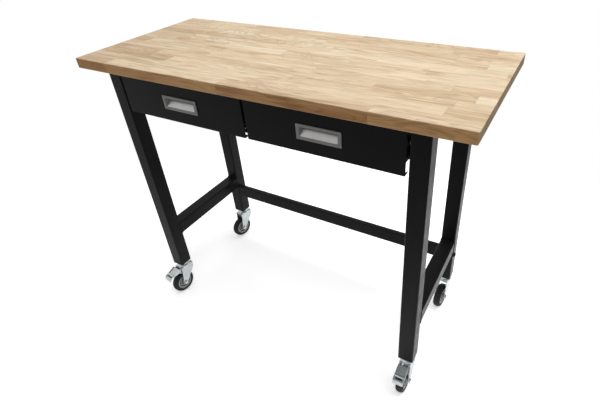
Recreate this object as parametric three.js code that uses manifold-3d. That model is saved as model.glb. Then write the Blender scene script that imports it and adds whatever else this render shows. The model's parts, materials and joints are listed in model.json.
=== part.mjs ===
import * as THREE from "three";
import { mergeVertices } from "three/addons/utils/BufferGeometryUtils.js";
import Module from "manifold-3d";

const wasm = await Module();
wasm.setup();

// All lengths are in millimetres and all angles in degrees, with the floor at height 0

// Worktop
const topLength = 1200;
const topDepth = 500;
const topThickness = 30;
const topHeight = 960;
const topCornerRadius = 4;
const topEdgeRound = 2;

// Legs and their place under the worktop
const legWidth = 48;
const legDepth = 48;
const legFootPlate = 4;
const sideOverhang = 97;
const frontOverhang = 26;
const backOverhang = 40;
const tubeWall = 2;
const tubeRadius = 4;

// Side rails between the front and rear legs
const lowerRailBottom = 273;
const lowerRailHeight = 48;
const upperRailHeight = 30;

// Rear rails, bolted between the rear legs
const rearRailDepth = 20;
const rearRailHeight = 49;
const rearRailBottom = 229;
const rearRailSetback = 2;
const rearRailEndPlate = 5;
const rearRailRadius = 3;
const boltRadius = 4;
const boltGrip = 14;
const boltHeadRadius = 7.5;
const boltHeadHeight = 6;
const boltWasherRadius = 9;
const boltWasherHeight = 1.6;

// Drawer fronts, folded pans with a window for the pull
const drawerFrontHeight = 123;
const drawerFrontDepth = 16;
const drawerSheet = 1.5;
const drawerEdgeRadius = 2.5;
const drawerTopGap = 3;
const drawerSideGap = 7;
const drawerCentreGap = 8;
const drawerNotchLift = 6;
const drawerNotchHeight = 32;
const drawerNotchRadius = 3;

// Drawer trays, with a closed hem round the mouth
const trayLift = 25;
const trayHeight = 86;
const trayBackGap = 32;
const traySheet = 1.5;
const trayRadius = 4;
const trayHemHeight = 8;
const trayHemSheet = 3;

// Recessed pulls
const pullWidth = 126;
const pullHeight = 42;
const pullDrop = 3.5;
const pullRadius = 2;
const pullFlange = 2.5;
const pullSideLip = 6;
const pullTopLip = 4.5;
const pullWall = 3;
const pullSideDraft = 4;
const pullTopDraft = 1;
const pullFloor = 1.5;
const pullFloorHeight = 9;
const pullFloorRadius = 2;
const pullBackGap = 3;

// Telescopic slides
const slideLift = 33;
const slideHeight = 45;
const slideThickness = 12.4;
const slideSheet = 1.2;
const slideBend = 1;
const slideFlangeShort = 2;
const slideFlangeStep = 3.7;
const slideWebStep = 2.4;
const slideFrontSetback = 3;
const slideBackGap = 15;
const slideMiddleShort = 20;
const slideDrawerShort = 8;

// Centre hanger that carries the inner slides
const hangerWidth = 22;
const hangerMargin = 5.5;
const hangerFlange = 26;
const hangerSheet = 2;
const hangerBend = 2;

// Caster wheel
const wheelRadius = 45;
const wheelTrail = 24;
const tyreWidth = 26;
const tyreShoulder = 6;
const tyreThickness = 14;
const tyreDish = 1.2;
const rimInset = 2;
const rimLip = 4;
const rimWeb = 8;
const rimTaper = 2;
const hubRadius = 11;
const hubProud = 2.5;
const axleRadius = 4;
const axleHeadRadius = 7.5;
const axleHeadHeight = 4;

// Caster fork and swivel head
const forkSheet = 2.5;
const forkBend = 6;
const forkFront = 26;
const forkBack = 28;
const forkShoulder = 24;
const forkEyeRadius = 9;
const forkEyeTurn = 23;
const crownRadius = 23;
const crownTopRadius = 17;
const crownHeight = 6.5;
const crownStep = 1;
const headRadius = 22;
const headNeckRadius = 17;
const headNeckHeight = 3;
const headHeight = 8.7;
const headStemRadius = 6;
const headStemLength = 24;

// Brake pedal of the front casters
const pedalWidth = 34;
const pedalSheet = 2.2;
const pedalBend = 3;
const pedalPinRadius = 3;
const pedalPinForward = 12;
const pedalPinDrop = 14;
const pedalEyeRadius = 7;
const pedalCheekSheet = 2;
const pedalFlangeSheet = 1.8;
const pedalFlangeHeight = 4;
const pedalRootDrop = 2.5;
const pedalTreadLength = 48;
const pedalTreadSlope = 20;
const pedalLipLength = 10;
const pedalLipSlope = 61;
const pedalShoeForward = 8;
const pedalShoeLength = 9;
const pedalSlotLength = 23;
const pedalSlotWidth = 6;
const pedalSlotRadius = 2.4;
const pedalSlotFromKnee = 8;

// How far each caster is turned at rest, towards the left of the bench
const casterTurns = { front_left: 6, front_right: 0, rear_left: 11, rear_right: 5 };

// Clearances
const fitGap = 0.3;
const holeGap = 0.3;
const swivelGap = 0.5;
const wheelTopGap = 29.5;
const hubSideGap = 1.5;
const pedalRootGap = 8;
const pedalSideGap = 3;
const brakeGap = 5;

// Facets of a quarter bend, of a bolt and of a wheel
const cornerFacets = 3;
const boltFacets = 10;
const hexFacets = 6;
const wheelFacets = 24;

// Vertices closer than this are one vertex
const weldTolerance = 0.0005;

const finishes = {
  wood: { color: 0xdcbe96, roughness: 0.55, metalness: 0 },
  black_coat: { color: 0x1c1c1d, roughness: 0.5, metalness: 0.1 },
  slide_steel: { color: 0xa9abab, roughness: 0.35, metalness: 0.9 },
  pull_grey: { color: 0xa5a6a6, roughness: 0.5, metalness: 0.1 },
  zinc: { color: 0xc4cacb, roughness: 0.3, metalness: 0.9 },
  rim_grey: { color: 0x8d9091, roughness: 0.5, metalness: 0.1 },
  tyre_rubber: { color: 0x161616, roughness: 0.8, metalness: 0 },
};

// Sizes and places that follow from the values above

const underTop = topHeight - topThickness;
const frameTop = underTop - fitGap;
const frontEdge = -topDepth / 2;
const backEdge = topDepth / 2;
const legX = topLength / 2 - sideOverhang - legWidth / 2;
const legInnerX = legX - legWidth / 2;
const frontLegY = frontEdge + frontOverhang + legDepth / 2;
const rearLegY = backEdge - backOverhang - legDepth / 2;
const cornerPlaces = {
  front_left: [-legX, frontLegY],
  front_right: [legX, frontLegY],
  rear_left: [-legX, rearLegY],
  rear_right: [legX, rearLegY],
};
const rearRailPlaces = {
  lower: {
    y: rearLegY - legDepth / 2 + rearRailSetback + rearRailDepth / 2,
    z: rearRailBottom + rearRailHeight / 2,
  },
  upper: {
    y: rearLegY + legDepth / 2 - rearRailDepth / 2,
    z: frameTop - rearRailHeight / 2,
  },
};
const upperRailFront = rearRailPlaces.upper.y - rearRailDepth / 2;

const drawerFace = frontEdge + frontOverhang;
const drawerBack = drawerFace + drawerFrontDepth;
const frontWidth = legInnerX - drawerSideGap - drawerCentreGap / 2;
const frontX = (legInnerX - drawerSideGap + drawerCentreGap / 2) / 2;
const frontZ = underTop - drawerTopGap - drawerFrontHeight / 2;
const pullZ = frontZ - pullDrop;
const bayX = (legInnerX + hangerWidth / 2) / 2;
const bayWidth = legInnerX - hangerWidth / 2;
const trayWidth = bayWidth - 2 * (slideThickness + 2 * fitGap);
const trayBottom = frontZ - drawerFrontHeight / 2 + trayLift;
const trayDepth = upperRailFront - trayBackGap - drawerBack - fitGap;
const slideZ = trayBottom + slideLift;
const slideStart = drawerBack + slideFrontSetback;
const slideLength = upperRailFront - slideBackGap - slideStart;

const hubWidth = tyreWidth + 2 * hubProud;
const forkInside = hubWidth + 2 * hubSideGap;
const forkWidth = forkInside + 2 * forkSheet;
const tyreBore = wheelRadius - tyreThickness;
const forkTop = 2 * wheelRadius + wheelTopGap + forkSheet;
const crownTop = forkTop + crownHeight;
const headBottom = crownTop + swivelGap;
const legFoot = headBottom + headHeight + fitGap;

// Mesh solids and the boolean operations between them

function toManifold(geometry) {
  const bare = geometry.clone();
  bare.deleteAttribute("normal");
  bare.deleteAttribute("uv");
  const welded = mergeVertices(bare, weldTolerance);
  const ids = welded.index.array;
  const triVerts = [];
  for (let i = 0; i < ids.length; i += 3) {
    const [a, b, c] = ids.slice(i, i + 3);
    if (a !== b && b !== c && c !== a) {
      triVerts.push(a, b, c);
    }
  }
  const mesh = new wasm.Mesh({
    numProp: 3,
    vertProperties: welded.getAttribute("position").array,
    triVerts: new Uint32Array(triVerts),
  });
  return new wasm.Manifold(mesh);
}

function toGeometry(manifold) {
  const mesh = manifold.getMesh();
  const geometry = new THREE.BufferGeometry();
  geometry.setAttribute("position", new THREE.BufferAttribute(mesh.vertProperties, 3));
  geometry.setIndex(new THREE.BufferAttribute(mesh.triVerts, 1));
  return geometry;
}

function join(...parts) {
  return toGeometry(parts.map(toManifold).reduce((whole, part) => whole.add(part)));
}

function cut(base, ...tools) {
  return toGeometry(tools.map(toManifold).reduce((whole, tool) => whole.subtract(tool), toManifold(base)));
}

function common(first, second) {
  return toGeometry(toManifold(first).intersect(toManifold(second)));
}

// Outlines

function roundedRectangle(width, height, radius) {
  const u = width / 2 - radius;
  const v = height / 2 - radius;
  const quarter = Math.PI / 2;
  const shape = new THREE.Shape();
  shape.absarc(u, v, radius, 0, quarter);
  shape.absarc(-u, v, radius, quarter, 2 * quarter);
  shape.absarc(-u, -v, radius, 2 * quarter, 3 * quarter);
  shape.absarc(u, -v, radius, 3 * quarter, 4 * quarter);
  shape.closePath();
  return shape;
}

// A sheet folded along a path, seen on its edge
function foldedSheet(path, thickness, bend) {
  const corners = path.map(([u, v]) => new THREE.Vector2(u, v));
  const line = corners.flatMap((corner, i) => {
    if (i === 0 || i === corners.length - 1) {
      return [corner];
    }
    const before = corners[i - 1].clone().sub(corner).normalize();
    const after = corners[i + 1].clone().sub(corner).normalize();
    const halfAngle = Math.acos(before.dot(after)) / 2;
    const reach = bend / Math.tan(halfAngle);
    const start = corner.clone().addScaledVector(before, reach);
    const end = corner.clone().addScaledVector(after, reach);
    return new THREE.QuadraticBezierCurve(start, corner, end).getPoints(cornerFacets);
  });
  const offsets = line.map((point, i) => {
    const back = line[Math.max(i - 1, 0)];
    const ahead = line[Math.min(i + 1, line.length - 1)];
    const run = ahead.clone().sub(back).normalize();
    return new THREE.Vector2(-run.y, run.x).multiplyScalar(thickness / 2);
  });
  const left = line.map((point, i) => point.clone().add(offsets[i]));
  const right = line.map((point, i) => point.clone().sub(offsets[i])).reverse();
  return new THREE.Shape([...left, ...right]);
}

// Solids

// An outline in X and Y raised along Z from height 0
function raised(shape, length) {
  return new THREE.ExtrudeGeometry(shape, {
    depth: length,
    bevelEnabled: false,
    curveSegments: cornerFacets,
  });
}

// An outline in Y and Z pushed along X, centred on X
function acrossX(shape, length) {
  const turn = new THREE.Matrix4().makeBasis(
    new THREE.Vector3(0, 1, 0),
    new THREE.Vector3(0, 0, 1),
    new THREE.Vector3(1, 0, 0),
  );
  return raised(shape, length).applyMatrix4(turn).translate(-length / 2, 0, 0);
}

// An outline in X and Z pushed towards the back from Y 0
function backward(shape, length) {
  const turn = new THREE.Matrix4().makeBasis(
    new THREE.Vector3(1, 0, 0),
    new THREE.Vector3(0, 0, 1),
    new THREE.Vector3(0, -1, 0),
  );
  return raised(shape, length).applyMatrix4(turn).translate(0, length, 0);
}

// A profile of radius and height pairs, from the bottom up, turned about Z
function turned(profile, facets) {
  const points = profile.map(([radius, height]) => new THREE.Vector2(radius, height));
  return new THREE.LatheGeometry(points, facets).rotateX(Math.PI / 2);
}

// The same profile turned about X, from the left to the right
function turnedX(profile, facets) {
  return turned(profile, facets).rotateY(Math.PI / 2);
}

// A round or many-sided rod along X, from X 0
function rod(radius, length, facets) {
  return turnedX([[0, 0], [radius, 0], [radius, length], [0, length]], facets);
}

// A solid between two outlines of the same kind in X and Z, from Y 0 to the given depth, the far one raised
function lofted(nearShape, farShape, depth, rise) {
  const near = nearShape.getPoints(cornerFacets).slice(1);
  const far = farShape.getPoints(cornerFacets).slice(1);
  const count = near.length;
  const positions = [...near.map((p) => [p.x, 0, p.y]), ...far.map((p) => [p.x, depth, p.y + rise])];
  const index = [];
  for (let i = 0; i < count; i += 1) {
    const next = (i + 1) % count;
    index.push(i, count + next, next, i, count + i, count + next);
  }
  for (let i = 1; i < count - 1; i += 1) {
    index.push(0, i, i + 1, count, count + i + 1, count + i);
  }
  const geometry = new THREE.BufferGeometry();
  geometry.setAttribute("position", new THREE.Float32BufferAttribute(positions.flat(), 3));
  geometry.setIndex(index);
  return geometry;
}

const bench = new THREE.Group();

function addPart(parent, name, geometry, finish, place = [0, 0, 0]) {
  const mesh = new THREE.Mesh(geometry, new THREE.MeshStandardMaterial(finishes[finish]));
  mesh.name = name;
  mesh.position.set(...place);
  parent.add(mesh);
  return mesh;
}

// Worktop

function worktopBoard() {
  return new THREE.ExtrudeGeometry(roundedRectangle(topLength, topDepth, topCornerRadius), {
    depth: topThickness - 2 * topEdgeRound,
    bevelThickness: topEdgeRound,
    bevelSize: topEdgeRound,
    bevelOffset: -topEdgeRound,
    bevelSegments: 2,
    curveSegments: cornerFacets,
  });
}

addPart(bench, "worktop", worktopBoard(), "wood", [0, 0, underTop + topEdgeRound]);

// Legs, with a closed foot for the caster's stem

function tubeSections(width, height, radius) {
  const outside = roundedRectangle(width, height, radius);
  const inside = roundedRectangle(width - 2 * tubeWall, height - 2 * tubeWall, radius - tubeWall / 2);
  return { outside, inside };
}

function leg(isRear) {
  const length = frameTop - legFoot;
  const { outside, inside } = tubeSections(legWidth, legDepth, tubeRadius);
  const stemHole = rod(headStemRadius + holeGap, 3 * legFootPlate, boltFacets);
  const tools = [
    raised(inside, length).translate(0, 0, legFootPlate),
    stemHole.rotateY(-Math.PI / 2).translate(0, 0, -legFootPlate),
  ];
  if (isRear) {
    Object.values(rearRailPlaces).forEach(({ y, z }) => {
      const hole = rod(boltRadius + holeGap, 2 * legWidth, boltFacets);
      tools.push(hole.translate(-legWidth, y - rearLegY, z - legFoot));
    });
  }
  return cut(raised(outside, length), ...tools);
}

const legShapes = { front: leg(false), rear: leg(true) };
Object.entries(cornerPlaces).forEach(([corner, [x, y]]) => {
  const [end] = corner.split("_");
  addPart(bench, `leg_${corner}`, legShapes[end], "black_coat", [x, y, legFoot]);
});

// Side rails

function sideRail(height) {
  const length = rearLegY - frontLegY - legDepth - 2 * fitGap;
  const { outside, inside } = tubeSections(legWidth, height, tubeRadius);
  const bore = backward(inside, 3 * length).translate(0, -length, 0);
  return cut(backward(outside, length), bore);
}

const sideRails = {
  lower: { shape: sideRail(lowerRailHeight), z: lowerRailBottom + lowerRailHeight / 2 },
  upper: { shape: sideRail(upperRailHeight), z: frameTop - upperRailHeight / 2 },
};
Object.entries(sideRails).forEach(([level, { shape, z }]) => {
  const y = frontLegY + legDepth / 2 + fitGap;
  addPart(bench, `side_rail_${level}_left`, shape, "black_coat", [-legX, y, z]);
  addPart(bench, `side_rail_${level}_right`, shape, "black_coat", [legX, y, z]);
});

// Rear rails and the bolts that reach them through the legs

function rearRail() {
  const length = 2 * (legInnerX - fitGap);
  const { outside, inside } = tubeSections(rearRailDepth, rearRailHeight, rearRailRadius);
  const bore = acrossX(inside, length - 2 * rearRailEndPlate);
  const boltHole = rod(boltRadius + holeGap, 2 * length, boltFacets).translate(-length, 0, 0);
  return cut(acrossX(outside, length), bore, boltHole);
}

function railBolt() {
  const length = boltGrip + legWidth + 2 * fitGap;
  const shank = rod(boltRadius, length + boltHeadHeight / 2, boltFacets);
  const washer = rod(boltWasherRadius, boltWasherHeight, boltFacets).translate(length, 0, 0);
  const head = rod(boltHeadRadius, boltHeadHeight, hexFacets).translate(length, 0, 0);
  return join(shank, washer, head);
}

const rearRailShape = rearRail();
const boltShape = railBolt();
Object.entries(rearRailPlaces).forEach(([level, { y, z }]) => {
  const boltX = legInnerX - fitGap - boltGrip;
  addPart(bench, `rear_rail_${level}`, rearRailShape, "black_coat", [0, y, z]);
  addPart(bench, `rail_bolt_${level}_right`, boltShape, "black_coat", [boltX, y, z]);
  const leftBolt = addPart(bench, `rail_bolt_${level}_left`, boltShape, "black_coat", [-boltX, y, z]);
  leftBolt.rotation.z = Math.PI;
});

// Centre hanger, a trough whose flanges screw to the worktop

function drawerHanger() {
  const side = hangerWidth / 2 - hangerSheet / 2;
  const rim = side + hangerFlange;
  const top = frameTop - hangerSheet / 2;
  const bottom = slideZ - slideHeight / 2 - hangerMargin + hangerSheet / 2;
  const path = [[-rim, top], [-side, top], [-side, bottom], [side, bottom], [side, top], [rim, top]];
  return backward(foldedSheet(path, hangerSheet, hangerBend), upperRailFront - fitGap - slideStart);
}

addPart(bench, "drawer_hanger", drawerHanger(), "black_coat", [0, slideStart, 0]);

// Drawer fronts, notched in their side folds below the slides

const pullBodyWidth = pullWidth - 2 * pullSideLip;
const pullBodyHeight = pullHeight - 2 * pullTopLip;

function drawerFront() {
  const outline = roundedRectangle(frontWidth, drawerFrontHeight, drawerEdgeRadius);
  const inside = roundedRectangle(
    frontWidth - 2 * drawerSheet,
    drawerFrontHeight - 2 * drawerSheet,
    drawerEdgeRadius - drawerSheet / 2,
  );
  const window = roundedRectangle(
    pullBodyWidth + 2 * fitGap,
    pullBodyHeight + 2 * fitGap,
    pullRadius + fitGap,
  );
  const hollow = backward(inside, drawerFrontDepth).translate(0, drawerSheet, 0);
  const opening = backward(window, drawerFrontDepth).translate(0, -drawerSheet, -pullDrop);
  const notchDepth = drawerFrontDepth - drawerSheet;
  const notchOutline = roundedRectangle(2 * notchDepth, drawerNotchHeight, drawerNotchRadius);
  const notchZ = drawerNotchLift + drawerNotchHeight / 2 - drawerFrontHeight / 2;
  const notches = acrossX(notchOutline, 2 * frontWidth).translate(0, drawerFrontDepth, notchZ);
  return cut(backward(outline, drawerFrontDepth), hollow, opening, notches);
}

// Drawer trays

function drawerTray() {
  const outline = roundedRectangle(trayWidth, trayDepth, trayRadius);
  const room = roundedRectangle(
    trayWidth - 2 * traySheet,
    trayDepth - 2 * traySheet,
    trayRadius - traySheet / 2,
  );
  const mouth = roundedRectangle(
    trayWidth - 2 * trayHemSheet,
    trayDepth - 2 * trayHemSheet,
    trayRadius - trayHemSheet / 2,
  );
  const hollow = raised(room, trayHeight - traySheet - trayHemHeight).translate(0, 0, traySheet);
  const opening = raised(mouth, trayHeight).translate(0, 0, trayHeight / 2);
  return cut(raised(outline, trayHeight), hollow, opening);
}

// Recessed pulls: a flange on the drawer front and a finger cup behind it, whose floor slopes up to the back

function drawerPull() {
  const bodyDepth = drawerFrontDepth - pullBackGap + fitGap;
  const flange = backward(roundedRectangle(pullWidth, pullHeight, pullRadius), pullFlange);
  const body = backward(roundedRectangle(pullBodyWidth, pullBodyHeight, pullRadius), bodyDepth + pullFlange);
  const mouthWidth = pullBodyWidth - 2 * pullWall;
  const mouthHeight = pullBodyHeight - 2 * pullWall;
  const mouth = roundedRectangle(mouthWidth, mouthHeight, pullRadius);
  const floor = roundedRectangle(mouthWidth - 2 * pullSideDraft, pullFloorHeight, pullFloorRadius);
  const floorRise = mouthHeight / 2 - pullTopDraft - pullFloorHeight / 2;
  const cupDepth = bodyDepth + pullFlange - pullFloor;
  const cup = lofted(mouth, floor, cupDepth + fitGap, floorRise).translate(0, -fitGap, 0);
  return cut(join(flange, body), cup);
}

// Slide members: channels nested in each other, the drawer's one open to the bay wall

function slideMember(level, length, opensToWall) {
  const arm = slideHeight / 2 - slideSheet / 2 - level * slideFlangeStep;
  const wallWeb = slideSheet / 2 + level * slideWebStep;
  const web = opensToWall ? slideThickness - slideSheet / 2 : wallWeb;
  const edge = opensToWall ? level * slideWebStep : wallWeb + slideThickness - slideFlangeShort - slideSheet;
  const path = [[edge, arm], [web, arm], [web, -arm], [edge, -arm]];
  return backward(foldedSheet(path, slideSheet, slideBend), length).translate(0, -length / 2, 0);
}

const slideLengths = {
  cabinet: slideLength,
  middle: slideLength - slideMiddleShort,
  drawer: slideLength - slideDrawerShort,
};
const slideShapes = Object.entries(slideLengths).map(([member, length], level) => {
  return { member, length, shape: slideMember(level, length, member === "drawer") };
});
const frontShape = drawerFront();
const trayShape = drawerTray();
const pullShape = drawerPull();

[["left", -1], ["right", 1]].forEach(([side, sign]) => {
  const trayY = drawerBack + fitGap + trayDepth / 2;
  const pullY = drawerFace - fitGap - pullFlange;
  addPart(bench, `drawer_front_${side}`, frontShape, "black_coat", [sign * frontX, drawerFace, frontZ]);
  addPart(bench, `drawer_tray_${side}`, trayShape, "black_coat", [sign * bayX, trayY, trayBottom]);
  addPart(bench, `drawer_pull_${side}`, pullShape, "pull_grey", [sign * frontX, pullY, pullZ]);
  slideShapes.forEach(({ member, length, shape }) => {
    const y = slideStart + length / 2;
    const wall = bayWidth / 2 - fitGap;
    addPart(bench, `slide_${member}_${side}_a`, shape, "slide_steel", [sign * bayX - wall, y, slideZ]);
    const farPlace = [sign * bayX + wall, y, slideZ];
    const far = addPart(bench, `slide_${member}_${side}_b`, shape, "slide_steel", farPlace);
    far.rotation.z = Math.PI;
  });
});

// Caster pieces, each about the swivel axis with the wheel towards the front

function casterHead() {
  const profile = [
    [0, 0],
    [headNeckRadius, 0],
    [headRadius, headNeckHeight],
    [headRadius, headHeight],
    [headStemRadius, headHeight],
    [headStemRadius, headHeight + headStemLength],
    [0, headHeight + headStemLength],
  ];
  return turned(profile, wheelFacets).translate(0, 0, headBottom);
}

function forkArmOutline() {
  const eyeEnd = 2 * Math.PI - THREE.MathUtils.degToRad(forkEyeTurn);
  const shoulder = forkTop - forkShoulder;
  const outline = new THREE.Shape();
  outline.moveTo(forkBack, forkTop);
  outline.lineTo(-forkFront, forkTop);
  outline.lineTo(-forkFront, shoulder);
  outline.lineTo(-wheelTrail - forkEyeRadius, wheelRadius);
  outline.absarc(-wheelTrail, wheelRadius, forkEyeRadius, Math.PI, eyeEnd);
  outline.lineTo(forkBack, shoulder);
  outline.closePath();
  return outline;
}

function casterFork(hasPin) {
  const reach = forkFront + forkBack + wheelTrail + forkEyeRadius;
  const blank = roundedRectangle(forkWidth, 2 * forkTop, forkBend);
  const inside = roundedRectangle(forkInside, 2 * (forkTop - forkSheet), forkBend - forkSheet);
  const bent = cut(
    backward(blank, 2 * reach).translate(0, -reach, 0),
    backward(inside, 4 * reach).translate(0, -2 * reach, 0),
  );
  const yoke = common(bent, acrossX(forkArmOutline(), 2 * forkWidth));
  const crown = turned(
    [
      [0, forkTop - forkSheet],
      [crownRadius, forkTop - forkSheet],
      [crownRadius, forkTop + crownStep],
      [crownTopRadius, crownTop],
      [0, crownTop],
    ],
    wheelFacets,
  );
  const axleHole = rod(axleRadius + holeGap, 2 * forkWidth, boltFacets);
  const fork = cut(join(yoke, crown), axleHole.translate(-forkWidth, -wheelTrail, wheelRadius));
  if (!hasPin) {
    return fork;
  }
  const pinLength = forkInside + forkSheet;
  const pin = rod(pedalPinRadius, pinLength, boltFacets);
  return join(fork, pin.translate(-pinLength / 2, -pedalPinForward, forkTop - pedalPinDrop));
}

function casterAxle() {
  const half = forkWidth / 2 + fitGap;
  const length = 2 * half + axleHeadHeight;
  const shank = rod(axleRadius, length, boltFacets).translate(-length / 2, 0, 0);
  const head = rod(axleHeadRadius, axleHeadHeight, hexFacets).translate(half, 0, 0);
  const nut = rod(axleHeadRadius, axleHeadHeight, hexFacets).translate(-half - axleHeadHeight, 0, 0);
  return join(shank, head, nut);
}

function casterTyre() {
  const half = tyreWidth / 2;
  const blend = tyreShoulder / 3;
  const left = [
    [tyreBore, -half + tyreDish],
    [wheelRadius - tyreShoulder, -half],
    [wheelRadius - blend, -half + blend],
    [wheelRadius, -half + tyreShoulder],
  ];
  const right = left.map(([radius, x]) => [radius, -x]).reverse();
  return turnedX([...left, ...right, left[0]], wheelFacets);
}

function casterRim() {
  const seat = tyreBore - fitGap;
  const bore = axleRadius + holeGap;
  const rimHalf = tyreWidth / 2 - rimInset;
  const left = [
    [bore, -hubWidth / 2],
    [hubRadius, -hubWidth / 2],
    [hubRadius + rimTaper, -rimWeb / 2],
    [seat - rimLip - rimTaper, -rimWeb / 2],
    [seat - rimLip, -rimHalf],
    [seat, -rimHalf],
  ];
  const right = left.map(([radius, x]) => [radius, -x]).reverse();
  return turnedX([...left, ...right, left[0]], wheelFacets);
}

// A brake pedal: a folded tread on two cheeks that pivot on the fork's pin, with a shoe over the tyre

function brakePedal() {
  const down = (degrees) => {
    const angle = THREE.MathUtils.degToRad(degrees);
    return new THREE.Vector2(-Math.cos(angle), -Math.sin(angle));
  };
  const pin = new THREE.Vector2(-pedalPinForward, forkTop - pedalPinDrop);
  const root = new THREE.Vector2(-forkFront - pedalRootGap, forkTop - pedalRootDrop);
  const knee = root.clone().addScaledVector(down(pedalTreadSlope), pedalTreadLength);
  const tip = knee.clone().addScaledVector(down(pedalLipSlope), pedalLipLength);
  const path = [root, knee, tip].map((point) => point.toArray());
  const tread = acrossX(foldedSheet(path, pedalSheet, pedalBend), pedalWidth);

  const shoeX = -wheelTrail - pedalShoeForward;
  const shoeTop = pin.y;
  const tyreUnder = (y) => wheelRadius + Math.sqrt((wheelRadius + brakeGap) ** 2 - (y + wheelTrail) ** 2);
  const shoeOutline = new THREE.Shape();
  shoeOutline.moveTo(shoeX, tyreUnder(shoeX));
  shoeOutline.lineTo(shoeX + pedalShoeLength, tyreUnder(shoeX + pedalShoeLength));
  shoeOutline.lineTo(shoeX + pedalShoeLength, shoeTop);
  shoeOutline.lineTo(shoeX, shoeTop);
  shoeOutline.closePath();

  const cheekOutline = new THREE.Shape();
  cheekOutline.absarc(pin.x, pin.y, pedalEyeRadius, -Math.PI / 2, Math.PI / 2);
  cheekOutline.lineTo(root.x, root.y);
  cheekOutline.lineTo(knee.x, knee.y);
  cheekOutline.lineTo(shoeX, pin.y - pedalEyeRadius);
  cheekOutline.closePath();

  const outside = forkInside - 2 * pedalSideGap;
  const cheek = acrossX(cheekOutline, pedalCheekSheet);
  const cheekX = outside / 2 - pedalCheekSheet / 2;
  const cheeks = [cheek.clone().translate(-cheekX, 0, 0), cheek.clone().translate(cheekX, 0, 0)];

  const upright = down(pedalTreadSlope).rotateAround(new THREE.Vector2(), -Math.PI / 2);
  const flangeOutline = new THREE.Shape([
    root,
    root.clone().addScaledVector(upright, pedalFlangeHeight),
    knee.clone().addScaledVector(upright, pedalFlangeHeight),
    knee,
  ]);
  const flange = acrossX(flangeOutline, pedalFlangeSheet);
  const flangeX = pedalWidth / 2 - pedalFlangeSheet / 2;
  const flanges = [flange.clone().translate(-flangeX, 0, 0), flange.clone().translate(flangeX, 0, 0)];
  const shoe = acrossX(shoeOutline, outside);

  const slotPlace = knee.clone().addScaledVector(down(pedalTreadSlope), -pedalSlotFromKnee);
  const slotOutline = roundedRectangle(pedalSlotLength, pedalSlotWidth, pedalSlotRadius);
  const slot = raised(slotOutline, 2 * pedalSlotLength);
  slot.translate(0, 0, -pedalSlotLength);
  slot.rotateX(THREE.MathUtils.degToRad(pedalTreadSlope));
  slot.translate(0, slotPlace.x, slotPlace.y);
  const pinHole = rod(pedalPinRadius + holeGap, 2 * pedalWidth, boltFacets);
  pinHole.translate(-pedalWidth, pin.x, pin.y);
  return cut(join(tread, ...cheeks, ...flanges, shoe), slot, pinHole);
}

const headShape = casterHead();
const forkShapes = { front: casterFork(true), rear: casterFork(false) };
const axleShape = casterAxle();
const tyreShape = casterTyre();
const rimShape = casterRim();
const pedalShape = brakePedal();

Object.entries(cornerPlaces).forEach(([corner, [x, y]]) => {
  const [end] = corner.split("_");
  const wheelPlace = [0, -wheelTrail, wheelRadius];
  const caster = new THREE.Group();
  caster.position.set(x, y, 0);
  caster.rotation.z = -THREE.MathUtils.degToRad(casterTurns[corner]);
  bench.add(caster);
  addPart(caster, `caster_head_${corner}`, headShape, "zinc");
  addPart(caster, `caster_fork_${corner}`, forkShapes[end], "zinc");
  addPart(caster, `caster_axle_${corner}`, axleShape, "zinc", wheelPlace);
  addPart(caster, `caster_rim_${corner}`, rimShape, "rim_grey", wheelPlace);
  addPart(caster, `caster_tyre_${corner}`, tyreShape, "tyre_rubber", wheelPlace);
  if (end === "front") {
    addPart(caster, `brake_pedal_${corner}`, pedalShape, "zinc");
  }
});

// The origin is on the floor under the middle of the whole bench

bench.position.y = -new THREE.Box3().setFromObject(bench).getCenter(new THREE.Vector3()).y;

export default bench;
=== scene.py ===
import json
import math

import bmesh
import bpy
from mathutils import Matrix, Vector


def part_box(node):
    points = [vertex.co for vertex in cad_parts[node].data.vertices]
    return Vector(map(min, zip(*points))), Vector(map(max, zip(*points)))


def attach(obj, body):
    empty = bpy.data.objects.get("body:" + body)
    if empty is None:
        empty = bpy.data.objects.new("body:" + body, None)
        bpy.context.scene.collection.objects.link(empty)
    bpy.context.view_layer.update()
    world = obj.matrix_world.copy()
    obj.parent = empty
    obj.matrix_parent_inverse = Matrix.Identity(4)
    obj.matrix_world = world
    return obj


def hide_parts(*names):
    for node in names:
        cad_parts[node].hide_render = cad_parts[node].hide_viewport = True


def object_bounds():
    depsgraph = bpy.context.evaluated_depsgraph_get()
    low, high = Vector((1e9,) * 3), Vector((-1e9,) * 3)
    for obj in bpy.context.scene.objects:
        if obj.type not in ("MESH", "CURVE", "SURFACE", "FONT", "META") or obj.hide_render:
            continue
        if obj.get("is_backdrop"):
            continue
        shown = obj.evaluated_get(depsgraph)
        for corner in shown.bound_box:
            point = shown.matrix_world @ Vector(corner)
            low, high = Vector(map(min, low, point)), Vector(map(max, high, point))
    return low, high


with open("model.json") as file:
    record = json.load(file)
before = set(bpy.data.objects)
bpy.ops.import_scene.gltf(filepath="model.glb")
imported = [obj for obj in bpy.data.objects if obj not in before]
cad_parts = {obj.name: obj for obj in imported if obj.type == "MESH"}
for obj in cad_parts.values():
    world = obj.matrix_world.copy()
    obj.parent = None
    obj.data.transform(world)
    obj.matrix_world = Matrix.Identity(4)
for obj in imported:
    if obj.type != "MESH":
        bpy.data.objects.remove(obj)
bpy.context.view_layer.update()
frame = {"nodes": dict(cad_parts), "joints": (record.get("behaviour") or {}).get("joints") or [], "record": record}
nodes = frame["nodes"]
joints = {joint["name"]: joint for joint in frame["joints"]}

CORNERS = ("front_left", "front_right", "rear_left", "rear_right")
MM = 0.001


# Materials

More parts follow.
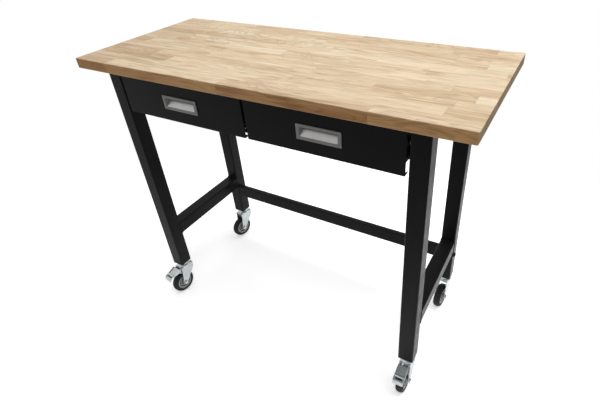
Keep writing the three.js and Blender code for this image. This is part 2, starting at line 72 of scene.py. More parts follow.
class Look:
    """A procedural material, laid out in metres of the bench's own frame."""

    def __init__(self, name, roughness, metallic=0.0, specular=0.5):
        self.material = bpy.data.materials.new(name)
        self.material.use_nodes = True
        self.tree = self.material.node_tree
        self.shader = self.tree.nodes["Principled BSDF"]
        self.shader.inputs["Roughness"].default_value = roughness
        self.shader.inputs["Metallic"].default_value = metallic
        self.shader.inputs["Specular IOR Level"].default_value = specular
        self.place = self.add("ShaderNodeTexCoord").outputs["Object"]

    def add(self, kind, inputs=None, **settings):
        node = self.tree.nodes.new(kind)
        for name, value in settings.items():
            setattr(node, name, value)
        for socket, value in (inputs or {}).items():
            if isinstance(value, bpy.types.NodeSocket):
                self.tree.links.new(value, node.inputs[socket])
            else:
                node.inputs[socket].default_value = value
        return node

    def math(self, operation, a, b=0.0):
        return self.add("ShaderNodeMath", {0: a, 1: b}, operation=operation).outputs[0]

    def split(self, vector):
        return self.add("ShaderNodeSeparateXYZ", {0: vector}).outputs

    def joined(self, x, y, z):
        return self.add("ShaderNodeCombineXYZ", {0: x, 1: y, 2: z}).outputs[0]

    def stretched(self, vector, scale):
        return self.add("ShaderNodeMapping", {"Vector": vector, "Scale": scale}).outputs[0]

    def shifted(self, vector, offset, amount):
        moved = self.add("ShaderNodeVectorMath", {0: offset, "Scale": amount}, operation="SCALE")
        return self.add("ShaderNodeVectorMath", {0: vector, 1: moved.outputs[0]}).outputs[0]

    def noise(self, vector, scale, detail=3.0, distortion=0.0):
        inputs = {"Vector": vector, "Scale": scale, "Detail": detail, "Distortion": distortion}
        return self.add("ShaderNodeTexNoise", inputs).outputs[0]

    def random(self, vector):
        return self.add("ShaderNodeTexWhiteNoise", {"Vector": vector}).outputs["Color"]

    def remap(self, value, low, high, to_low=0.0, to_high=1.0):
        inputs = {0: value, 1: low, 2: high, 3: to_low, 4: to_high}
        return self.add("ShaderNodeMapRange", inputs).outputs[0]

    def ramp(self, factor, stops):
        node = self.add("ShaderNodeValToRGB", {0: factor})
        elements = node.color_ramp.elements
        for element, (place, colour) in zip(elements, (stops[0], stops[-1])):
            element.position = place
            element.color = (*colour, 1)
        for place, colour in stops[1:-1]:
            elements.new(place).color = (*colour, 1)
        return node.outputs[0]

    def mixed(self, factor, a, b, blend="MIX"):
        inputs = {0: factor, 6: a, 7: b}
        return self.add("ShaderNodeMix", inputs, data_type="RGBA", blend_type=blend).outputs[2]

    def shaded(self, colour, amount):
        """The colour times a grey value."""
        return self.mixed(1.0, colour, self.joined(amount, amount, amount), "MULTIPLY")

    def rounded(self, radius):
        return self.add("ShaderNodeBevel", {"Radius": radius}, samples=4).outputs[0]

    def worn_edges(self, radius):
        """Near 1 along sharp edges and 0 on open faces, broken up by a noise."""
        flat = self.add("ShaderNodeNewGeometry").outputs["True Normal"]
        normals = {0: self.rounded(radius), 1: flat}
        turn = self.add("ShaderNodeVectorMath", normals, operation="DOT_PRODUCT")
        edge = self.remap(turn.outputs["Value"], 0.98, 0.8)
        return self.math("MULTIPLY", edge, self.remap(self.noise(self.place, 60.0), 0.42, 0.62))

    def recess_shade(self, reach):
        """Near 1 in grooves and corners of the piece itself and 0 on its open faces, from ambient occlusion: a
        mask for painted shade.
        """
        inputs = {"Distance": reach}
        openness = self.add("ShaderNodeAmbientOcclusion", inputs, samples=8, only_local=True)
        return self.remap(openness.outputs["AO"], 0.4, 0.8, 1.0, 0.0)

    def bumped(self, height, strength, distance, edge_radius=None):
        inputs = {"Height": height, "Strength": strength, "Distance": distance}
        if edge_radius:
            inputs["Normal"] = self.rounded(edge_radius)
        self.set("Normal", self.add("ShaderNodeBump", inputs).outputs[0])

    def set(self, socket, value):
        self.tree.links.new(value, self.shader.inputs[socket])


STAVE_WIDTH = 500 / 12 * MM
STAVE_LENGTHS = (0.2, 0.42)
ROW_SHIFT = 0.9
# Staves that start further to the left are darker
LEFTWARD_DARKENING_STARTS = (-0.75, -0.25)
LEFTWARD_DARKENING_TONES = (-0.4, 0.15)
TONE_SPREAD = 0.9
BOARD_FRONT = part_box("worktop")[0].y - 0.0005


def wood_look():
    look = Look("oiled_wood_staves", roughness=0.5, specular=0.15)
    x, y, z = look.split(look.place)
    across = look.math("DIVIDE", look.math("SUBTRACT", y, BOARD_FRONT), STAVE_WIDTH)
    row = look.math("FLOOR", across)
    row_shift, row_length, _ = look.split(look.random(look.joined(row, 3.7, 1.3)))
    length = look.remap(row_length, 0.0, 1.0, *STAVE_LENGTHS)
    shift = look.math("MULTIPLY", row_shift, ROW_SHIFT)
    along = look.math("DIVIDE", look.math("ADD", x, shift), length)
    column = look.math("FLOOR", along)
    stave = look.random(look.joined(row, column, 5.1))
    tone, phase, figure = look.split(stave)
    stave_start = look.math("SUBTRACT", look.math("MULTIPLY", column, length), shift)
    # Staves darker towards the worktop's left end
    leftward_darkening = look.remap(stave_start, *LEFTWARD_DARKENING_STARTS, *LEFTWARD_DARKENING_TONES)
    tone = look.math("ADD", look.math("MULTIPLY", tone, TONE_SPREAD), leftward_darkening)

    stave_colour = look.ramp(tone, [
        (0.0, (0.635, 0.458, 0.286)),
        (0.2, (0.69, 0.522, 0.338)),
        (0.5, (0.74, 0.577, 0.385)),
        (0.8, (0.785, 0.627, 0.431)),
        (1.0, (0.83, 0.688, 0.493)),
    ])
    own_place = look.shifted(look.place, stave, 9.0)

    heart = look.noise(look.stretched(own_place, (3.4, 27.0, 27.0)), 1.0, 4.0, 1.4)
    heart_share = look.remap(heart, 0.53, 0.74, 0.0, 0.75)
    sap = look.noise(look.stretched(own_place, (2.6, 15.0, 15.0)), 1.0, 3.0, 0.8)
    sap_share = look.remap(sap, 0.54, 0.72, 0.0, 0.65)

    growth = look.noise(look.stretched(own_place, (2.4, 17.0, 17.0)), 1.0, 2.0, 0.9)
    rings = look.math("SINE", look.math("ADD", look.math("MULTIPLY", growth, 95.0), phase))
    ring_depth = look.remap(figure, 0.1, 1.0, 0.06, 0.24)
    ring_dip = look.math("MULTIPLY", look.remap(rings, 0.1, 1.0), ring_depth)
    ring_shade = look.math("SUBTRACT", 1.0, ring_dip)

    fibres = look.noise(look.stretched(own_place, (14.0, 260.0, 260.0)), 1.0, 5.0)
    fibre_shade = look.remap(fibres, 0.3, 0.7, 0.85, 1.1)
    streaks = look.noise(look.stretched(own_place, (7.0, 110.0, 110.0)), 1.0, 4.0, 0.6)
    streak = look.remap(streaks, 0.56, 0.74, 0.0, 0.6)

    knot_cells = look.add("ShaderNodeTexVoronoi", {
        "Vector": look.stretched(look.place, (7.0, 12.0, 12.0)),
        "Scale": 1.0,
    })
    knot_chance, _, _ = look.split(knot_cells.outputs["Color"])
    knot_core = look.remap(knot_cells.outputs["Distance"], 0.03, 0.13, 1.0, 0.0)
    knot = look.math("MULTIPLY", knot_core, look.remap(knot_chance, 0.86, 0.9, 0.0, 0.5))

    colour = look.mixed(sap_share, stave_colour, (0.9, 0.76, 0.55, 1))
    colour = look.mixed(heart_share, colour, (0.5, 0.32, 0.17, 1))
    colour = look.shaded(look.shaded(colour, ring_shade), fibre_shade)
    colour = look.mixed(streak, colour, (0.40, 0.235, 0.105, 1))
    colour = look.mixed(knot, colour, (0.2, 0.1, 0.04, 1))

    seam_across = look.math("ABSOLUTE", look.math("SUBTRACT", look.math("FRACT", across), 0.5))
    seam_along = look.math("ABSOLUTE", look.math("SUBTRACT", look.math("FRACT", along), 0.5))
    seam = look.math(
        "MAXIMUM",
        look.remap(seam_across, 0.486, 0.497),
        look.remap(seam_along, 0.4975, 0.4995),
    )
    colour = look.mixed(look.math("MULTIPLY", seam, 0.18), colour, (0.3, 0.17, 0.075, 1))

    normal_x, _, normal_z = look.split(look.add("ShaderNodeNewGeometry").outputs["Normal"])
    # Painted shade: the worktop's upright faces are painted darker and warmer than its top
    upright_face_shade = look.remap(look.math("ABSOLUTE", normal_z), 0.6, 0.2)
    shaded_upright_colour = look.mixed(1.0, colour, (0.83, 0.6, 0.395, 1), "MULTIPLY")
    colour = look.mixed(upright_face_shade, colour, shaded_upright_colour)
    end_grain = look.remap(look.math("ABSOLUTE", normal_x), 0.7, 0.95)
    pores = look.noise(look.place, 900.0, 2.0)
    centre = look.math("MULTIPLY", look.math("SUBTRACT", phase, 0.5), 0.12)
    stave_y = look.math("MULTIPLY", look.math("FRACT", across), STAVE_WIDTH)
    ring_y = look.math("SUBTRACT", stave_y, centre)
    ring_z = look.math("SUBTRACT", z, look.remap(figure, 0.0, 1.0, 0.87, 0.93))
    ring_place = look.joined(0.0, ring_y, ring_z)
    radius = look.add("ShaderNodeVectorMath", {0: ring_place}, operation="LENGTH")
    end_rings = look.math("SINE", look.math("MULTIPLY", radius.outputs["Value"], 1500.0))
    pore_shade = look.remap(pores, 0.3, 0.7, 0.85, 1.05)
    end_shade = look.math("MULTIPLY", look.remap(end_rings, -1.0, 1.0, 0.46, 0.6), pore_shade)
    end_colour = look.shaded(look.mixed(0.3, stave_colour, (0.55, 0.35, 0.17, 1)), end_shade)
    look.set("Base Color", look.mixed(end_grain, colour, end_colour))

    roughness = look.remap(fibres, 0.25, 0.75, 0.44, 0.6)
    look.set("Roughness", look.math("MAXIMUM", roughness, end_grain))
    relief = look.math("SUBTRACT", look.math("MULTIPLY", fibres, 0.6), seam)
    look.bumped(relief, 0.25, 0.0004)
    return look.material


# Painted floor light: the coat is painted paler towards the floor, standing in for light bounced up off the floor
PAINTED_FLOOR_LIGHT_TOP = 0.7
PAINTED_FLOOR_LIGHT_FOOT = 0.12
PAINTED_FLOOR_LIGHT_COLOUR = (0.037, 0.037, 0.0365, 1)


def coat_look():
    look = Look("black_powder_coat", roughness=0.34, specular=0.06)
    cloud = look.noise(look.place, 7.0, 4.0)
    colour = look.ramp(cloud, [(0.3, (0.0035, 0.0035, 0.0037)), (0.75, (0.0065, 0.0065, 0.0067))])
    height = look.split(look.place)[2]
    # Painted floor light: paler towards the floor, broken up by the cloud noise
    paler_share = look.math("POWER", look.remap(height, PAINTED_FLOOR_LIGHT_TOP, PAINTED_FLOOR_LIGHT_FOOT), 2.0)
    paler_share = look.math("MULTIPLY", paler_share, look.remap(cloud, 0.3, 0.7, 0.7, 1.0))
    colour = look.mixed(paler_share, colour, PAINTED_FLOOR_LIGHT_COLOUR)
    scuffs = look.noise(look.stretched(look.place, (30.0, 30.0, 3.0)), 3.0, 5.0, 1.5)
    scuff = look.remap(scuffs, 0.66, 0.8, 0.0, 0.3)
    colour = look.mixed(scuff, colour, (0.018, 0.018, 0.0185, 1))
    wear = look.math("MULTIPLY", look.worn_edges(0.0014), 0.5)
    colour = look.mixed(wear, colour, (0.03, 0.03, 0.031, 1))
    look.set("Base Color", colour)
    look.set("Roughness", look.remap(look.noise(look.place, 30.0, 3.0), 0.3, 0.7, 0.29, 0.39))
    look.bumped(look.noise(look.place, 1100.0, 2.0), 0.16, 0.0004, edge_radius=0.0012)
    return look.material


def plated_look(name, dark, pale, roughness, scale):
    """Zinc plate, with the grain of the rolled sheet and cloudy passivation."""
    look = Look(name, roughness=roughness[0], metallic=0.9)
    cells = look.add("ShaderNodeTexVoronoi", {"Vector": look.place, "Scale": scale})
    grain, _, _ = look.split(cells.outputs["Color"])
    cloud = look.noise(look.place, 45.0, 4.0)
    blend = look.math("ADD", look.math("MULTIPLY", grain, 0.15), look.math("MULTIPLY", cloud, 0.85))
    colour = look.ramp(blend, [(0.3, dark), (0.7, pale)])
    stain = look.remap(look.noise(look.place, 120.0, 5.0), 0.62, 0.8, 0.0, 0.25)
    look.set("Base Color", look.mixed(stain, colour, (0.33, 0.33, 0.31, 1)))
    look.set("Roughness", look.remap(blend, 0.25, 0.75, *roughness))
    look.bumped(look.noise(look.place, 700.0, 3.0), 0.08, 0.0003, edge_radius=0.0008)
    return look.material


def pull_look():
    look = Look("grained_grey_plastic", roughness=0.45, specular=0.4)
    cloud = look.noise(look.place, 40.0, 4.0)
    colour = look.ramp(cloud, [(0.3, (0.2, 0.201, 0.198)), (0.7, (0.25, 0.251, 0.248))])
    wear = look.math("MULTIPLY", look.worn_edges(0.0012), 0.6)
    colour = look.mixed(wear, colour, (0.4, 0.402, 0.398, 1))
    look.set("Base Color", colour)
    look.set("Roughness", look.remap(look.noise(look.place, 160.0, 3.0), 0.3, 0.7, 0.4, 0.55))
    look.bumped(look.noise(look.place, 1600.0, 2.0), 0.2, 0.0003, edge_radius=0.001)
    return look.material


def rim_look():
    look = Look("moulded_rim", roughness=0.4, specular=0.5)
    cloud = look.noise(look.place, 90.0, 4.0)
    colour = look.ramp(cloud, [(0.3, (0.4, 0.405, 0.41)), (0.7, (0.52, 0.525, 0.53))])
    dirt_and_groove_shade = look.remap(look.noise(look.place, 220.0, 4.0), 0.6, 0.78, 0.0, 0.3)
    # Painted shade: the rim's grooves and corners are darkened as by shade, on top of the dirt noise
    dirt_and_groove_shade = look.math("MAXIMUM", dirt_and_groove_shade, look.recess_shade(0.006))
    look.set("Base Color", look.mixed(dirt_and_groove_shade, colour, (0.035, 0.034, 0.031, 1)))
    look.set("Roughness", look.remap(cloud, 0.3, 0.7, 0.34, 0.5))
    look.bumped(look.noise(look.place, 900.0, 2.0), 0.12, 0.0003)
    return look.material


def rubber_look():
    look = Look("tyre_rubber", roughness=0.7, specular=0.35)
    cloud = look.noise(look.place, 70.0, 4.0)
    colour = look.ramp(cloud, [(0.3, (0.007, 0.007, 0.007)), (0.75, (0.014, 0.0138, 0.0132))])
    paler_share = look.remap(look.noise(look.place, 240.0, 5.0), 0.6, 0.8, 0.0, 0.35)
    look.set("Base Color", look.mixed(paler_share, colour, (0.05, 0.048, 0.044, 1)))
    look.set("Roughness", look.remap(cloud, 0.3, 0.7, 0.6, 0.8))
    look.bumped(look.noise(look.place, 1300.0, 3.0), 0.2, 0.0003)
    return look.material


looks = {
    "wood": wood_look(),
    "black_coat": coat_look(),
    "slide_steel": plated_look(
        "slide_steel",
        dark=(0.33, 0.335, 0.34),
        pale=(0.47, 0.475, 0.48),
        roughness=(0.3, 0.45),
        scale=240.0,
    ),
    "pull_grey": pull_look(),
    "zinc": plated_look(
        "bright_zinc",
        dark=(0.48, 0.513, 0.523),
        pale=(0.63, 0.665, 0.675),
        roughness=(0.24, 0.38),
        scale=420.0,
    ),
    # Painted light: the paler plate on each pull's sloping floor
    "pull_painted_light_plate": plated_look(
        "satin_painted_light_plate",
        dark=(0.43, 0.425, 0.414),
        pale=(0.52, 0.515, 0.502),
        roughness=(0.34, 0.44),
        scale=300.0,
    ),
    "rim_grey": rim_look(),
    "tyre_rubber": rubber_look(),
}
for subpart in frame["record"]["subparts"]:
    for material_slot in nodes[subpart["node"]].material_slots:
        material_slot.material = looks[subpart["material_slot"]]


# Mesh pieces

EASE_STEPS = 4


def new_piece(name, mesh_data, body, slot, smooth_degrees=35.0, look=None):
    mesh = bpy.data.meshes.new(name)
    mesh_data.to_mesh(mesh)
    mesh_data.free()
    mesh.shade_smooth()
    mesh.set_sharp_from_angle(angle=math.radians(smooth_degrees))
    piece = bpy.data.objects.new(name, mesh)
    bpy.context.scene.collection.objects.link(piece)
    mesh.materials.append(looks[look or slot])
    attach(piece, body)
    return piece


def rings_mesh(rings, close_rows):
    """A mesh of quads between rings of points, each ring a closed loop."""
    data = bmesh.new()
    rows = [[data.verts.new(point) for point in ring] for ring in rings]
    pairs = list(zip(rows, rows[1:]))
    if close_rows:
        pairs.append((rows[-1], rows[0]))
    else:
        data.faces.new(rows[0])
        data.faces.new(rows[-1])
    count = len(rows[0])
    for row, following in pairs:
        for i in range(count):
            j = (i + 1) % count
            data.faces.new((row[i], row[j], following[j], following[i]))
    bmesh.ops.recalc_face_normals(data, faces=data.faces)
    return data


def turned(profile, place, segments=96):
    """A closed profile of radii and heights in millimetres, turned about the place's X axis."""
    rings = []
    for step in range(segments):
        angle = 2 * math.pi * step / segments
        rings.append([
            place @ Vector((height * MM, radius * MM * math.cos(angle), radius * MM * math.sin(angle)))
            for radius, height in profile
        ])
    return rings_mesh(rings, close_rows=True)


def swept(path, radii, sides=8):
    """A closed tube along a loop of points, with its own radius at each point."""
    rings = []
    for i, point in enumerate(path):
        run = (path[(i + 1) % len(path)] - path[i - 1]).normalized()
        side = run.orthogonal().normalized()
        across = run.cross(side)
        ring = []
        for step in range(sides):
            angle = 2 * math.pi * step / sides
            ring.append(point + radii[i] * (side * math.cos(angle) + across * math.sin(angle)))
        rings.append(ring)
    return rings_mesh(rings, close_rows=True)


def rounded_bar(place, size, radius, segments=3):
    """A bar with rounded edges, its size in millimetres, centred on the place."""
    data = bmesh.new()
    bmesh.ops.create_cube(data, size=1.0)
    bmesh.ops.scale(data, vec=Vector(size) * MM, verts=data.verts)
    bmesh.ops.bevel(
        data,
        geom=data.edges[:],
        offset=radius * MM,
        segments=segments,
        profile=0.5,
        affect="EDGES",
    )
    bmesh.ops.transform(data, matrix=place, verts=data.verts)
    return data


def upright(place):
    """A frame at the place whose X axis points up."""
    return Matrix.Translation(place) @ Matrix.Rotation(-math.pi / 2, 4, "Y")


def eased(corners):
    """A closed profile with rounded corners, each a radius, a height and the reach of its rounding."""
    points = [Vector(corner[:2]) for corner in corners]
    profile = []
    for i, corner in enumerate(points):
        reach = corners[i][2]
        if not reach:
            profile.append(corner)
            continue
        start = corner + reach * (points[i - 1] - corner).normalized()
        end = corner + reach * (points[(i + 1) % len(points)] - corner).normalized()
        for step in range(EASE_STEPS + 1):
            share = step / EASE_STEPS
            profile.append(start.lerp(corner, share).lerp(corner.lerp(end, share), share))
    return profile


def mirrored(half):
    """The corners of a profile's left half and of its mirror image, as one loop."""
    return half + [(radius, -height, reach) for radius, height, reach in reversed(half)]


# Casters, with their radii and heights in millimetres

TYRE_BORE = 31.0
TYRE_DISH = 1.2
SHOULDER = 5.5
WEB = 5.5
HUB = (4.3, 11.0, 15.5)
INNER_RING = (14.4, 18.6, 9.6)
OUTER_RING = (23.6, TYRE_BORE - 0.3, 11.2)
RING_SLOPE = 1.0
TREAD_FLAT = 1.0
TREAD_DROP = 0.6

tyre_low, tyre_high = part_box("caster_tyre_front_right")
wheel_radius = tyre_high.z / MM - joints["wheel_front_right_spin"]["pos_m"][2] / MM
tyre_side = (tyre_high.x - tyre_low.x) / 2 / MM
tyre_corners = mirrored([
    (TYRE_BORE, TYRE_DISH - tyre_side, 0),
    (wheel_radius - SHOULDER, -tyre_side, 2.6),
    (wheel_radius - TREAD_DROP, SHOULDER - tyre_side, 3.6),
    (wheel_radius, -TREAD_FLAT, 0),
])
rim_corners = mirrored([
    (HUB[0], -HUB[2], 0),
    (HUB[1], -HUB[2], 1.4),
    (HUB[1] + RING_SLOPE, -WEB, 1.0),
    (INNER_RING[0] - RING_SLOPE, -WEB, 0.7),
    (INNER_RING[0], -INNER_RING[2], 0.8),
    (INNER_RING[1], -INNER_RING[2], 0.8),
    (INNER_RING[1] + RING_SLOPE, -WEB, 0.7),
    (OUTER_RING[0] - RING_SLOPE, -WEB, 0.7),
    (OUTER_RING[0], -OUTER_RING[2], 1.0),
    (OUTER_RING[1], -OUTER_RING[2], 0.6),
])

STEM_RADIUS = 6.0
HEAD_NECK = 17.0
HEAD_NECK_RISE = 3.0
HEAD_TOP_RISE = 8.7
CROWN_RADIUS = 23.0
CROWN_DROP = 9.0
CROWN_PROUD = 0.6
RACE_SHOULDER = 5.8
RACE_TOP = 0.4
RACE_RIM = 0.8
RACE_INSETS = (1.0, 1.4)
AXIS = 0.01

head_low, head_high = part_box("caster_head_front_right")
head_radius = (head_high.x - head_low.x) / 2 / MM
head_foot = head_low.z / MM
stem_top = head_high.z / MM
head_corners = [
    (AXIS, head_foot, 0),
    (HEAD_NECK, head_foot, 0.8),
    (head_radius, head_foot + HEAD_NECK_RISE, 0.9),
    (head_radius, head_foot + HEAD_TOP_RISE, 1.2),
    (STEM_RADIUS, head_foot + HEAD_TOP_RISE, 0.5),
    (STEM_RADIUS, stem_top, 0.8),
    (AXIS, stem_top, 0),
]
race_corners = [
    (CROWN_RADIUS - RACE_INSETS[0], head_foot - CROWN_DROP, 0),
    (CROWN_RADIUS + CROWN_PROUD, head_foot - CROWN_DROP + CROWN_PROUD, 0.6),
    (CROWN_RADIUS + CROWN_PROUD, head_foot - RACE_SHOULDER, 1.4),
    (HEAD_NECK + RACE_RIM, head_foot - RACE_TOP, 0.6),
    (HEAD_NECK - RACE_RIM, head_foot - RACE_TOP, 0),
    (CROWN_RADIUS - RACE_INSETS[1], head_foot - RACE_SHOULDER, 0),
]


def joint_frame(name):
    """A frame at a joint, with its X axis along the joint's axis and its Z axis up."""
    joint = joints[name]
    along = Vector(joint["axis"]).normalized()
    up = Vector((0, 0, 1))
    turn = Matrix((along, up.cross(along), up)).transposed().to_4x4()
    return Matrix.Translation(joint["pos_m"]) @ turn


for corner in CORNERS:
    wheel_place = joint_frame(f"wheel_{corner}_spin")
    wheel = f"wheel_{corner}"
    tyre_mesh = turned(eased(tyre_corners), wheel_place)
    tyre = new_piece(f"tyre_{corner}", tyre_mesh, wheel, "tyre_rubber")
    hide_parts(f"caster_tyre_{corner}")
    rim_mesh = turned(eased(rim_corners), wheel_place)
    rim = new_piece(f"rim_{corner}", rim_mesh, wheel, "rim_grey")
    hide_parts(f"caster_rim_{corner}")

    swivel_x, swivel_y, _ = joints[f"swivel_{corner}_turn"]["pos_m"]
    swivel_place = upright((swivel_x, swivel_y, 0))
    head_mesh = turned(eased(head_corners), swivel_place)
    head = new_piece(f"swivel_head_{corner}", head_mesh, "frame", "zinc")
    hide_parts(f"caster_head_{corner}")
    race_mesh = turned(eased(race_corners), swivel_place)
    new_piece(f"swivel_race_{corner}", race_mesh, f"swivel_{corner}", "zinc")


# Brake pedals: a rounded bar across the tread, and a dark rubber sheet filling its slot, painted shade standing in
# for the dark seen through the slot

PEDAL_SLOPE = math.radians(20)
PEDAL_ROOT = (-22.0, 11.5)
PEDAL_SHEET = 2.2
BAR_DISTANCE = 32.0
BAR_SIZE = (37.0, 8.4, 7.6)
BAR_ROUND = 3.6
BAR_SEGMENTS = 6
SLOT_SHADE_DISTANCE = 40.0
SLOT_SHADE_SIZE = (22.4, 5.4, 1.2)
SLOT_SHADE_ROUND = 0.5

for side in ("left", "right"):
    corner = f"front_{side}"
    root = Matrix.Translation((0, PEDAL_ROOT[0] * MM, PEDAL_ROOT[1] * MM))
    tread = joint_frame(f"pedal_{corner}_press") @ root @ Matrix.Rotation(PEDAL_SLOPE, 4, "X")
    bar = tread @ Matrix.Translation((0, -BAR_DISTANCE * MM, PEDAL_SHEET / 2 * MM))
    bar_mesh = rounded_bar(bar, BAR_SIZE, BAR_ROUND, BAR_SEGMENTS)
    new_piece(f"pedal_bar_{side}", bar_mesh, f"pedal_{corner}", "zinc")
    # Painted shade: a dark sheet where the slot shows only shade
    slot_shade = tread @ Matrix.Translation((0, -SLOT_SHADE_DISTANCE * MM, 0))
    slot_shade_mesh = rounded_bar(slot_shade, SLOT_SHADE_SIZE, SLOT_SHADE_ROUND)
    new_piece(f"pedal_slot_shade_{side}", slot_shade_mesh, f"pedal_{corner}", "tyre_rubber")


# Painted light: paler satin plates on the sloping floors of the pulls, standing in for the light those floors
# catch

CUP_DEPTH = 14.3
CUP_HALF_HEIGHT = 13.5
CUP_FLOOR_EDGE = 3.5
PLATE_SHARES = (0.06, 0.96)
PLATE_WIDTHS = (104.5, 97.5)
PLATE_GAP = 0.1
PLATE_SHEET = 0.6

for side in ("left", "right"):
    pull_low, pull_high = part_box(f"drawer_pull_{side}")
    middle = (pull_low + pull_high) / 2
    mouth = Vector((middle.x, pull_low.y, middle.z - CUP_HALF_HEIGHT * MM))
    back = Vector((middle.x, pull_low.y + CUP_DEPTH * MM, middle.z + CUP_FLOOR_EDGE * MM))
    across = Vector((1, 0, 0))
    outward = across.cross(back - mouth).normalized()
    rings = []
    for lift in (PLATE_GAP, PLATE_GAP + PLATE_SHEET):
        raised = lift * MM * outward
        front_edge, back_edge = (mouth.lerp(back, share) + raised for share in PLATE_SHARES)
        front_half, back_half = (width / 2 * MM * across for width in PLATE_WIDTHS)
        rings.append([
            front_edge - front_half, front_edge + front_half,
            back_edge + back_half, back_edge - back_half,
        ])
    plate = rings_mesh(rings, close_rows=False)
    new_piece(f"pull_painted_light_plate_{side}", plate, f"drawer_{side}", "pull_grey", look="pull_painted_light_plate")


# Screws that hold the drawer hanger to the worktop

SCREW_RADIUS = 4.6
SCREW_RISE = 2.6
SOCKET_RADIUS = 1.9
SCREW_SINK = 0.2
SCREW_SEGMENTS = 32
SCREW_INSET = 12.0
SCREW_SHARES = (0.12, 0.5, 0.88)
HANGER_SHEET = 2.0
screw_corners = [
    (AXIS, -SCREW_RISE / 2, 0),
    (SOCKET_RADIUS, -SCREW_RISE / 2, 0),
    (SOCKET_RADIUS, -SCREW_RISE, 0.2),
    (SCREW_RADIUS, -SCREW_RISE, 2.2),
    (SCREW_RADIUS, SCREW_SINK, 0),
    (AXIS, SCREW_SINK, 0),
]
hanger_low, hanger_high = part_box("drawer_hanger")
flange_middles = {"left": hanger_low.x + SCREW_INSET * MM, "right": hanger_high.x - SCREW_INSET * MM}
for number, share in enumerate(SCREW_SHARES, start=1):
    y = hanger_low.y + share * (hanger_high.y - hanger_low.y)
    for side, x in flange_middles.items():
        place = upright((x, y, hanger_high.z - HANGER_SHEET * MM))
        screw_mesh = turned(eased(screw_corners), place, SCREW_SEGMENTS)
        new_piece(f"hanger_screw_{side}_{number}", screw_mesh, "frame", "zinc")


# Lugs on the trays' inner front corners, each with a screw

LUG_SIZE = (15.5, 1.6, 27.0)
LUG_ROUND = 0.6
LUG_RISE = 9.0
LUG_SCREW_LIFT = 15.5

for side, inward in (("left", 1), ("right", -1)):
    tray_low, tray_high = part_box(f"drawer_tray_{side}")
    tray_side = tray_high.x if inward > 0 else tray_low.x
    lug_x = tray_side + inward * LUG_SIZE[0] / 2 * MM
    lug_foot = tray_low.z + (LUG_RISE - LUG_SIZE[2]) * MM
    lug_middle = Vector((lug_x, tray_low.y + LUG_SIZE[1] / 2 * MM, lug_foot + LUG_SIZE[2] / 2 * MM))
    lug = rounded_bar(Matrix.Translation(lug_middle), LUG_SIZE, LUG_ROUND)
    new_piece(f"tray_lug_{side}", lug, f"drawer_{side}", "black_coat")
    head = Vector((lug_x, tray_low.y, lug_foot + LUG_SCREW_LIFT * MM))
    facing = Matrix.Translation(head) @ Matrix.Rotation(math.pi / 2, 4, "Z")
    screw_mesh = turned(eased(screw_corners), facing, SCREW_SEGMENTS)
    new_piece(f"lug_screw_{side}", screw_mesh, f"drawer_{side}", "zinc")


# Weld beads round the ends of the side rails

BEAD_RADIUS = 1.9
BEAD_RIPPLE = 0.35
BEAD_STEP = 2.4
BEAD_PITCH = 5.3


def bead_path(low, high, y):
    """A loop round a rail's end, following its sides at an even step."""
    corners = [
        Vector((low.x, y, low.z)), Vector((high.x, y, low.z)),
        Vector((high.x, y, high.z)), Vector((low.x, y, high.z)),
    ]
    path = []
    for start, end in zip(corners, corners[1:] + corners[:1]):
        count = round((end - start).length / (BEAD_STEP * MM))
        path += [start.lerp(end, (step + 0.5) / count) for step in range(count)]
    return path


for rail in ("lower_left", "lower_right", "upper_left", "upper_right"):
    low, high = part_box(f"side_rail_{rail}")
    for end, y in (("front", low.y), ("rear", high.y)):
        path = bead_path(low, high, y)
        radii = [
            (BEAD_RADIUS + BEAD_RIPPLE * math.sin(2 * math.pi * step * BEAD_STEP / BEAD_PITCH)) * MM
            for step in range(len(path))
        ]
        new_piece(f"weld_{rail}_{end}", swept(path, radii), "frame", "black_coat", smooth_degrees=60.0)


# Stage, light and camera

FLOOR_RADIUS = 40.0
LIT_FLOOR = 2.6
BOUNCE = 0.8
WHITE_SHARE = 0.4
WHITE_FROM = 0.9
WHITE_TO = 1.7


def backdrop_shares(tree):
    """1 for rays that show the backdrop: those from the camera and those off shiny surfaces."""
    rays = tree.nodes.new("ShaderNodeLightPath")
    total = rays.outputs["Is Camera Ray"]
    for name in ("Is Glossy Ray", "Is Transmission Ray"):
        add = tree.nodes.new("ShaderNodeMath")
        add.operation = "MAXIMUM"
        tree.links.new(total, add.inputs[0])
        tree.links.new(rays.outputs[name], add.inputs[1])
        total = add.outputs[0]
    return total


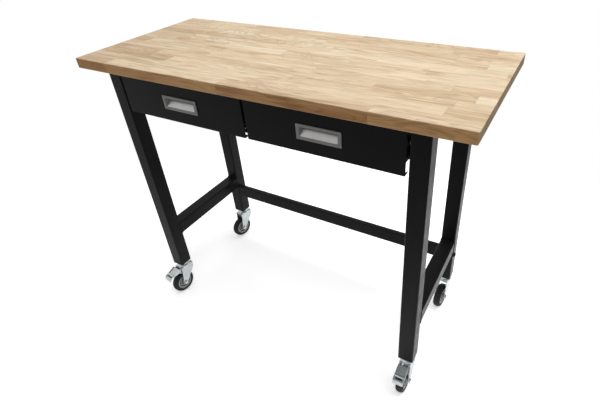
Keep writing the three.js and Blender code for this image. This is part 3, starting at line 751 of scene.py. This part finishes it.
def floor_material():
    material = bpy.data.materials.new("pale_floor")
    material.use_nodes = True
    tree = material.node_tree
    tree.nodes.clear()
    place = tree.nodes.new("ShaderNodeTexCoord")
    reach = tree.nodes.new("ShaderNodeVectorMath")
    reach.operation = "LENGTH"
    fade = tree.nodes.new("ShaderNodeMapRange")
    fade.interpolation_type = "SMOOTHSTEP"
    fade.inputs["From Min"].default_value = WHITE_FROM
    fade.inputs["From Max"].default_value = WHITE_TO
    fade.inputs["To Min"].default_value = WHITE_SHARE
    lit = tree.nodes.new("ShaderNodeBsdfDiffuse")
    lit.inputs["Color"].default_value = (LIT_FLOOR, LIT_FLOOR, LIT_FLOOR, 1)
    plain = tree.nodes.new("ShaderNodeEmission")
    bounce = tree.nodes.new("ShaderNodeBsdfDiffuse")
    bounce.inputs["Color"].default_value = (BOUNCE, BOUNCE, BOUNCE, 1)
    seen = tree.nodes.new("ShaderNodeMixShader")
    choice = tree.nodes.new("ShaderNodeMixShader")
    output = tree.nodes.new("ShaderNodeOutputMaterial")
    links = tree.links
    links.new(place.outputs["Object"], reach.inputs[0])
    links.new(reach.outputs["Value"], fade.inputs["Value"])
    links.new(fade.outputs["Result"], seen.inputs[0])
    links.new(lit.outputs[0], seen.inputs[1])
    links.new(plain.outputs[0], seen.inputs[2])
    links.new(backdrop_shares(tree), choice.inputs[0])
    links.new(bounce.outputs[0], choice.inputs[1])
    links.new(seen.outputs[0], choice.inputs[2])
    links.new(choice.outputs[0], output.inputs["Surface"])
    return material


floor_data = bmesh.new()
bmesh.ops.create_circle(floor_data, cap_ends=True, radius=FLOOR_RADIUS, segments=64)
floor_mesh = bpy.data.meshes.new("floor")
floor_data.to_mesh(floor_mesh)
floor_data.free()
floor_mesh.materials.append(floor_material())
floor = bpy.data.objects.new("floor", floor_mesh)
bpy.context.scene.collection.objects.link(floor)
floor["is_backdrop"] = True

AMBIENT = 0.3
CEILING = 0.25
CEILING_FROM = 0.45
CEILING_TO = 0.9
CEILING_LEAN = 0.35


def studio_world():
    """White to the camera. Shiny surfaces show a dim ceiling, and the rest gets a weak light."""
    world = bpy.data.worlds.new("studio")
    world.use_nodes = True
    tree = world.node_tree
    links = tree.links
    background = tree.nodes["Background"]
    background.inputs["Color"].default_value = (1, 1, 1, 1)
    direction = tree.nodes.new("ShaderNodeTexCoord")
    axes = tree.nodes.new("ShaderNodeSeparateXYZ")
    lean = tree.nodes.new("ShaderNodeMath")
    lean.operation = "MULTIPLY_ADD"
    lean.inputs[1].default_value = CEILING_LEAN
    room = tree.nodes.new("ShaderNodeMapRange")
    room.interpolation_type = "SMOOTHSTEP"
    room.inputs["From Min"].default_value = CEILING_FROM
    room.inputs["From Max"].default_value = CEILING_TO
    room.inputs["To Min"].default_value = 1.0
    room.inputs["To Max"].default_value = CEILING
    rays = tree.nodes.new("ShaderNodeLightPath")
    shown = tree.nodes.new("ShaderNodeMath")
    shown.operation = "MAXIMUM"
    strength = tree.nodes.new("ShaderNodeMapRange")
    strength.inputs["To Min"].default_value = AMBIENT
    links.new(direction.outputs["Generated"], axes.inputs[0])
    links.new(axes.outputs["X"], lean.inputs[0])
    links.new(axes.outputs["Z"], lean.inputs[2])
    links.new(lean.outputs[0], room.inputs["Value"])
    links.new(room.outputs["Result"], shown.inputs[0])
    links.new(rays.outputs["Is Camera Ray"], shown.inputs[1])
    links.new(shown.outputs[0], strength.inputs["To Max"])
    links.new(backdrop_shares(tree), strength.inputs["Value"])
    links.new(strength.outputs["Result"], background.inputs["Strength"])
    return world


bpy.context.scene.world = studio_world()


def soft_light(name, place, target, size, power):
    data = bpy.data.lights.new(name, "AREA")
    data.shape = "RECTANGLE"
    data.size, data.size_y = size
    data.energy = power
    light = bpy.data.objects.new(name, data)
    light.location = place
    light.rotation_mode = "QUATERNION"
    light.rotation_quaternion = (Vector(target) - Vector(place)).to_track_quat("-Z", "Y")
    light.visible_glossy = False
    bpy.context.scene.collection.objects.link(light)


soft_light("overhead", place=(0.45, 0.3, 3.2), target=(0.2, 0, 0.5), size=(3.0, 2.6), power=58)
soft_light("right_fill", place=(2.8, 0.2, 2.4), target=(0, 0, 0.5), size=(1.6, 1.6), power=10)

# The camera, from the edges of the worktop, the legs' feet and the pulls in the photograph

CAMERA_PLACE = (0.73022, -1.00209, 1.35333)
CAMERA_RIGHT = (0.877105, 0.478176, -0.045116)
CAMERA_UP = (-0.238694, 0.515478, 0.822987)
CAMERA_BACK = (0.416789, -0.711077, 0.566266)
CAMERA_SHIFT = (-0.0583, -0.0196)
CAMERA_LENS = 26.4806
SENSOR_WIDTH = 36.0
camera_data = bpy.data.cameras.new("camera")
camera_data.sensor_width = SENSOR_WIDTH
camera_data.lens = CAMERA_LENS
camera_data.shift_x, camera_data.shift_y = CAMERA_SHIFT
camera = bpy.data.objects.new("camera", camera_data)
axes = Matrix((CAMERA_RIGHT, CAMERA_UP, CAMERA_BACK)).transposed()
camera.matrix_world = Matrix.Translation(CAMERA_PLACE) @ axes.to_4x4()
bpy.context.scene.collection.objects.link(camera)
bpy.context.scene.camera = camera
bpy.context.scene.view_settings.view_transform = "Standard"

low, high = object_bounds()
